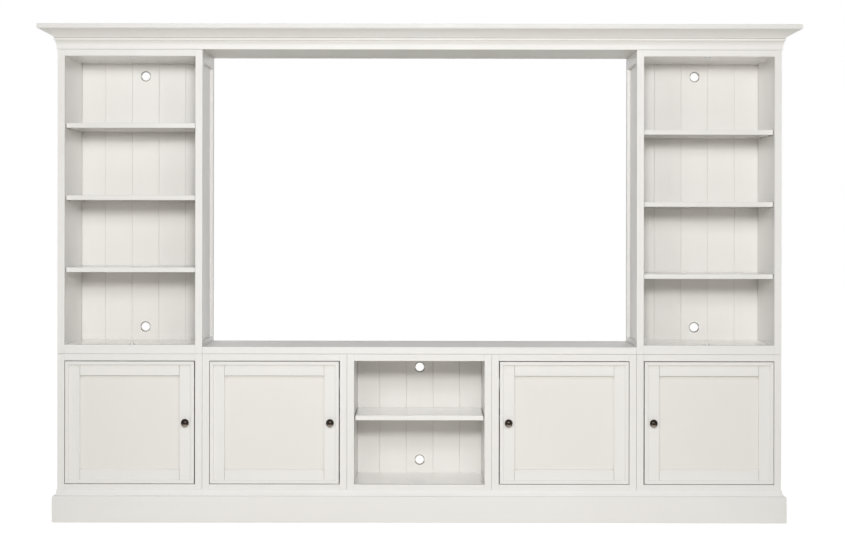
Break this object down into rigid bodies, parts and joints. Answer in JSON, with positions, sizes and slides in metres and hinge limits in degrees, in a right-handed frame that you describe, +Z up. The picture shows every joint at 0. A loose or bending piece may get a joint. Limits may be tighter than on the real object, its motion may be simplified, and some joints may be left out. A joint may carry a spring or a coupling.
{
  "type": "entertainment wall unit",
  "caption": "White painted entertainment wall unit: base cupboards with inset doors, open shelf towers with grooved backs, a television bay, and a bridge with a crown moulding.",
  "frame": {"origin": "on the floor, under the middle of the whole unit's bounding box", "axes": "+X to the right along the unit, +Y from the front towards the wall, +Z up"},
  "size_m": [3.2, 0.532, 2.0955],
  "materials": {
    "white_paint": "satin white paint",
    "knob_bronze": "dark bronze",
    "steel": "zinc plated",
    "moulded_plastic": "matt"
  },
  "bodies": {
    "cabinet": {"base_far_left_sides": "white_paint", "base_far_left_face_frame": "white_paint", "base_far_left_back": "white_paint", "base_left_sides": "white_paint", "base_left_face_frame": "white_paint", "base_left_back": "white_paint", "base_centre_sides": "white_paint", "base_centre_face_frame": "white_paint", "base_centre_back": "white_paint", "base_right_sides": "white_paint", "base_right_face_frame": "white_paint", "base_right_back": "white_paint", "base_far_right_sides": "white_paint", "base_far_right_face_frame": "white_paint", "base_far_right_back": "white_paint", "base_floors": "white_paint", "base_tops": "white_paint", "base_shelves": "white_paint", "glides": "moulded_plastic", "tower_left_sides": "white_paint", "tower_left_face_frame": "white_paint", "tower_left_back": "white_paint", "tower_left_decks": "white_paint", "tower_left_shelves": "white_paint", "tower_right_sides": "white_paint", "tower_right_face_frame": "white_paint", "tower_right_back": "white_paint", "tower_right_decks": "white_paint", "tower_right_shelves": "white_paint", "shelf_pins": "moulded_plastic", "joining_bolts": "steel", "magnetic_catches": "moulded_plastic", "pivot_pins": "steel", "console_top": "white_paint", "bridge_rails": "white_paint", "bridge_soffit": "white_paint", "cornice_board": "white_paint", "crown_moulding": "white_paint", "plinth": "white_paint", "plinth_cap": "white_paint"},
    "door_1": {"door_1_frame": "white_paint", "door_1_panel": "white_paint", "door_1_bead": "white_paint", "door_1_knob": "knob_bronze", "door_1_hardware": "steel"},
    "door_2": {"door_2_frame": "white_paint", "door_2_panel": "white_paint", "door_2_bead": "white_paint", "door_2_knob": "knob_bronze", "door_2_hardware": "steel"},
    "door_3": {"door_3_frame": "white_paint", "door_3_panel": "white_paint", "door_3_bead": "white_paint", "door_3_knob": "knob_bronze", "door_3_hardware": "steel"},
    "door_4": {"door_4_frame": "white_paint", "door_4_panel": "white_paint", "door_4_bead": "white_paint", "door_4_knob": "knob_bronze", "door_4_hardware": "steel"}
  },
  "joints": [
    {"name": "door_1_hinge", "type": "hinge", "parent": "cabinet", "child": "door_1", "pos_m": [-1.44904, -0.179, 0.422], "axis": [0, 0, -1], "range_deg": [0, 105]},
    {"name": "door_2_hinge", "type": "hinge", "parent": "cabinet", "child": "door_2", "pos_m": [-0.83904, -0.179, 0.422], "axis": [0, 0, -1], "range_deg": [0, 105]},
    {"name": "door_3_hinge", "type": "hinge", "parent": "cabinet", "child": "door_3", "pos_m": [0.83904, -0.179, 0.422], "axis": [0, 0, 1], "range_deg": [0, 105]},
    {"name": "door_4_hinge", "type": "hinge", "parent": "cabinet", "child": "door_4", "pos_m": [1.44904, -0.179, 0.422], "axis": [0, 0, 1], "range_deg": [0, 105]}
  ]
}
